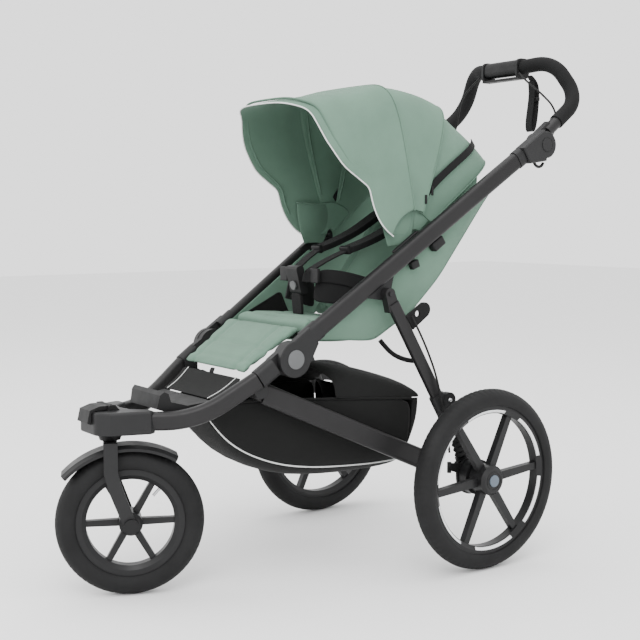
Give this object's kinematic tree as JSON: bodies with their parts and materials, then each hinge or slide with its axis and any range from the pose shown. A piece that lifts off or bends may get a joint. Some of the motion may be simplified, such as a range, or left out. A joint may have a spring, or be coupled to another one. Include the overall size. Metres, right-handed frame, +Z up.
{
  "type": "baby stroller",
  "caption": "Three-wheeled folding jogging stroller with a reclining seat, a canopy and a basket.",
  "frame": {"origin": "on the ground, under the middle of the whole stroller's bounding box", "axes": "+X the stroller's left, -Y forwards, +Z up"},
  "size_m": [0.688, 1.2652, 1.164],
  "materials": {
    "anodised_tube": "satin",
    "black_plastic": "matte",
    "dark_casting": "satin",
    "grey_trim": "satin",
    "steel": "satin",
    "foam": "matte",
    "tyre_rubber": "matte",
    "rim_plastic": "satin",
    "sage_fabric": "matte",
    "black_fabric": "matte",
    "webbing": "matte",
    "button_grey": "satin"
  },
  "bodies": {
    "rear_frame": {"upper_tubes": "anodised_tube", "fold_castings_rear": "dark_casting", "fold_pins": "steel", "fold_caps": "grey_trim", "handle_joints": "dark_casting", "leg_brackets": "dark_casting", "seat_base": "sage_fabric", "seat_sides": "sage_fabric", "canopy_rear": "sage_fabric", "canopy_hinges": "black_plastic", "harness_buckle": "black_plastic", "harness_straps": "webbing"},
    "front_frame": {"lower_tubes": "anodised_tube", "fold_castings_front": "dark_casting", "front_housing": "dark_casting", "steering_bearing": "black_plastic", "swivel_lock_hinge": "black_plastic", "footrest_tray": "black_plastic", "front_sling": "black_fabric", "calf_pad": "sage_fabric"},
    "lock_lever": {"swivel_lock_lever": "black_plastic"},
    "caster": {"fork": "dark_casting", "front_axle": "steel", "front_mudguard": "dark_casting"},
    "front_wheel": {"front_tyre": "tyre_rubber", "front_rim": "rim_plastic"},
    "legs": {"rear_legs": "anodised_tube", "leg_feet": "dark_casting", "leg_tabs": "webbing", "brake_cables_lower": "foam", "shock_bellows": "foam"},
    "rails": {"lower_rails": "anodised_tube", "rail_cross_tube": "anodised_tube", "basket": "black_fabric", "basket_cover": "black_fabric"},
    "handlebar": {"handlebar": "anodised_tube", "handlebar_foam": "foam", "brake_body": "black_plastic", "brake_cables_upper": "foam", "wrist_strap": "webbing"},
    "twist_grip": {"brake_twist_grip": "black_plastic"},
    "canopy_middle": {"canopy_middle": "sage_fabric"},
    "canopy_front": {"canopy_front": "sage_fabric"},
    "seat_back": {"seat_back": "sage_fabric", "shoulder_pads": "webbing"},
    "buckle_button": {"buckle_button": "grey_trim"},
    "carrier_left": {"wheel_carrier_left": "black_plastic", "brake_shield_left": "black_plastic"},
    "brake_lever_left": {"brake_lever_left": "steel"},
    "rear_wheel_left": {"rear_tyre_left": "tyre_rubber", "rear_rim_left": "rim_plastic"},
    "wheel_button_left": {"wheel_release_button_left": "button_grey"},
    "handle_button_left": {"handle_button_left": "dark_casting"},
    "carrier_right": {"wheel_carrier_right": "black_plastic", "brake_shield_right": "black_plastic"},
    "brake_lever_right": {"brake_lever_right": "steel"},
    "rear_wheel_right": {"rear_tyre_right": "tyre_rubber", "rear_rim_right": "rim_plastic"},
    "wheel_button_right": {"wheel_release_button_right": "button_grey"},
    "handle_button_right": {"handle_button_right": "dark_casting"}
  },
  "joints": [
    {"name": "fold", "type": "hinge", "parent": "rear_frame", "child": "front_frame", "pos_m": [0, -0.19183, 0.481], "axis": [1, 0, 0], "range_deg": [0, 100], "deforming": ["calf_pad", "front_sling", "basket", "basket_cover"]},
    {"name": "leg_swing", "type": "hinge", "parent": "rear_frame", "child": "legs", "pos_m": [0, 0.03717, 0.609], "axis": [1, 0, 0], "range_deg": [0, 31.5]},
    {"name": "rail_swing", "type": "hinge", "parent": "front_frame", "child": "rails", "pos_m": [0, -0.25783, 0.417], "axis": [1, 0, 0], "range_deg": [-85, 0]},
    {"name": "lock_lever_lift", "type": "hinge", "parent": "front_frame", "child": "lock_lever", "pos_m": [0, -0.53483, 0.3945], "axis": [-1, 0, 0], "range_deg": [0, 35]},
    {"name": "caster_swivel", "type": "hinge", "parent": "front_frame", "child": "caster", "pos_m": [0, -0.52683, 0.33], "axis": [0, 0, 1], "continuous": true},
    {"name": "front_wheel_spin", "type": "hinge", "parent": "caster", "child": "front_wheel", "pos_m": [0.01578, -0.49171, 0.152], "axis": [0.9121, -0.4099, 0], "continuous": true},
    {"name": "handlebar_tilt", "type": "hinge", "parent": "rear_frame", "child": "handlebar", "pos_m": [0, 0.48017, 0.941], "axis": [1, 0, 0], "range_deg": [-100, 10]},
    {"name": "brake_twist", "type": "hinge", "parent": "handlebar", "child": "twist_grip", "pos_m": [0, 0.57317, 1.143], "axis": [1, 0, 0], "range_deg": [0, 40]},
    {"name": "canopy_front_fold", "type": "hinge", "parent": "rear_frame", "child": "canopy_front", "pos_m": [0, 0.14617, 0.728], "axis": [-1, 0, 0], "range_deg": [0, 60]},
    {"name": "canopy_middle_fold", "type": "hinge", "parent": "rear_frame", "child": "canopy_middle", "pos_m": [0, 0.14617, 0.728], "axis": [-1, 0, 0], "range_deg": [0, 30]},
    {"name": "recline", "type": "hinge", "parent": "rear_frame", "child": "seat_back", "pos_m": [0, 0.05917, 0.532], "axis": [-1, 0, 0], "range_deg": [0, 35]},
    {"name": "buckle_press", "type": "slide", "parent": "rear_frame", "child": "buckle_button", "axis": [0, 0.9701, 0.2425], "range_m": [0, 0.003], "stiffness_N_per_m": 400, "springref_m": -0.001},
    {"name": "suspension_left", "type": "slide", "parent": "legs", "child": "carrier_left", "axis": [0, -0.3635, 0.9316], "range_m": [0, 0.02], "stiffness_N_per_m": 8000, "springref_m": -0.012, "deforming": ["shock_bellows"]},
    {"name": "brake_lever_pull_left", "type": "hinge", "parent": "carrier_left", "child": "brake_lever_left", "pos_m": [0.26, 0.19017, 0.176], "axis": [1, 0, 0], "range_deg": [-12, 0]},
    {"name": "rear_wheel_spin_left", "type": "hinge", "parent": "carrier_left", "child": "rear_wheel_left", "pos_m": [0.315, 0.22217, 0.2], "axis": [1, 0, 0], "continuous": true},
    {"name": "wheel_button_press_left", "type": "slide", "parent": "rear_wheel_left", "child": "wheel_button_left", "axis": [-1, 0, 0], "range_m": [0, 0.003], "stiffness_N_per_m": 400, "springref_m": -0.001},
    {"name": "handle_button_press_left", "type": "slide", "parent": "rear_frame", "child": "handle_button_left", "axis": [-1, 0, 0], "range_m": [0, 0.0035], "stiffness_N_per_m": 400, "springref_m": -0.001},
    {"name": "suspension_right", "type": "slide", "parent": "legs", "child": "carrier_right", "axis": [0, -0.3635, 0.9316], "range_m": [0, 0.02], "stiffness_N_per_m": 8000, "springref_m": -0.012, "deforming": ["shock_bellows"]},
    {"name": "brake_lever_pull_right", "type": "hinge", "parent": "carrier_right", "child": "brake_lever_right", "pos_m": [-0.26, 0.19017, 0.176], "axis": [1, 0, 0], "range_deg": [-12, 0]},
    {"name": "rear_wheel_spin_right", "type": "hinge", "parent": "carrier_right", "child": "rear_wheel_right", "pos_m": [-0.315, 0.22217, 0.2], "axis": [1, 0, 0], "continuous": true},
    {"name": "wheel_button_press_right", "type": "slide", "parent": "rear_wheel_right", "child": "wheel_button_right", "axis": [1, 0, 0], "range_m": [0, 0.003], "stiffness_N_per_m": 400, "springref_m": -0.001},
    {"name": "handle_button_press_right", "type": "slide", "parent": "rear_frame", "child": "handle_button_right", "axis": [1, 0, 0], "range_m": [0, 0.0035], "stiffness_N_per_m": 400, "springref_m": -0.001}
  ],
  "couplings": [
    {"joint": "leg_swing", "follows": "fold", "ratio": 0.31},
    {"joint": "rail_swing", "follows": "fold", "ratio": -0.84},
    {"joint": "canopy_middle_fold", "follows": "canopy_front_fold", "ratio": 0.5},
    {"joint": "brake_lever_pull_left", "follows": "brake_twist", "ratio": -0.3},
    {"joint": "brake_lever_pull_right", "follows": "brake_twist", "ratio": -0.3}
  ]
}
